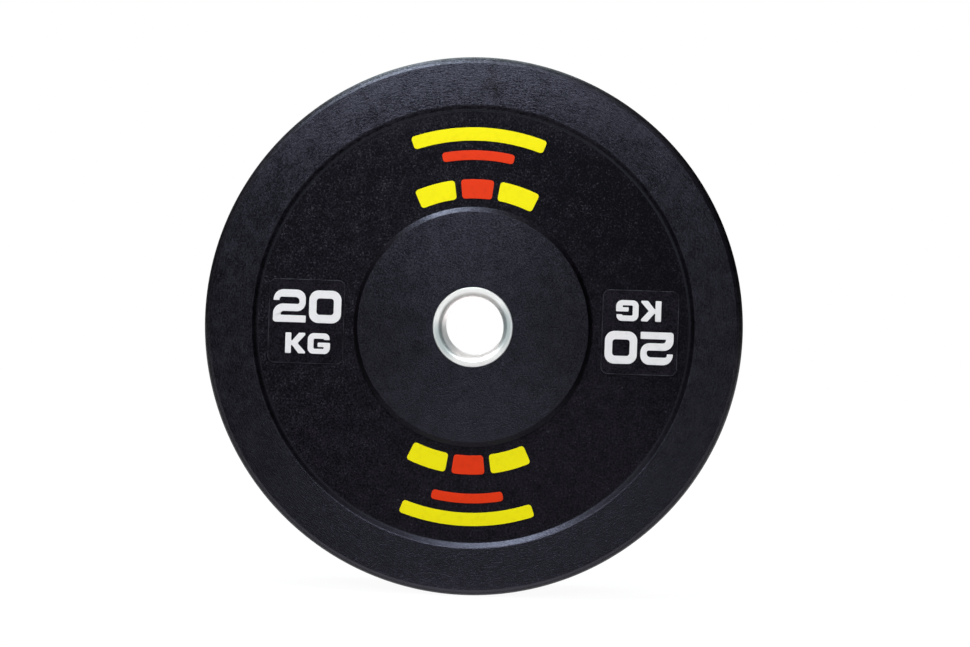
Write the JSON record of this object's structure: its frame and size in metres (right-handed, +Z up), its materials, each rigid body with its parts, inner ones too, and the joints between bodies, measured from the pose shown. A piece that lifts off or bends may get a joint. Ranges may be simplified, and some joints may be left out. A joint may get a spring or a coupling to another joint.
{
  "type": "bumper plate",
  "caption": "Round black rubber weight plate with raised rim and hub, a sunken band, inset weight panels and a steel-bushed bore for a bar sleeve.",
  "frame": {"origin": "centre of the bore, half way through the plate", "axes": "+Y along the bore from the front face to the back face, +Z up as the plate stands on its tread"},
  "size_m": [0.45, 0.084, 0.45],
  "materials": {
    "disc_rubber": "matte moulded black rubber with a fine grain",
    "panel_rubber": "smooth matte black rubber",
    "bush_steel": "turned and plated bright steel",
    "anchor_steel": "plain sheet steel",
    "white_mark": "white rubber inlay",
    "yellow_mark": "yellow rubber inlay",
    "red_mark": "red rubber inlay"
  },
  "bodies": {
    "root": {"rubber_body": "disc_rubber", "bore_bush": "bush_steel", "anchor_disc": "anchor_steel", "front_left_weight_panel": "panel_rubber", "front_right_weight_panel": "panel_rubber", "back_left_weight_panel": "panel_rubber", "back_right_weight_panel": "panel_rubber"}
  },
  "joints": []
}
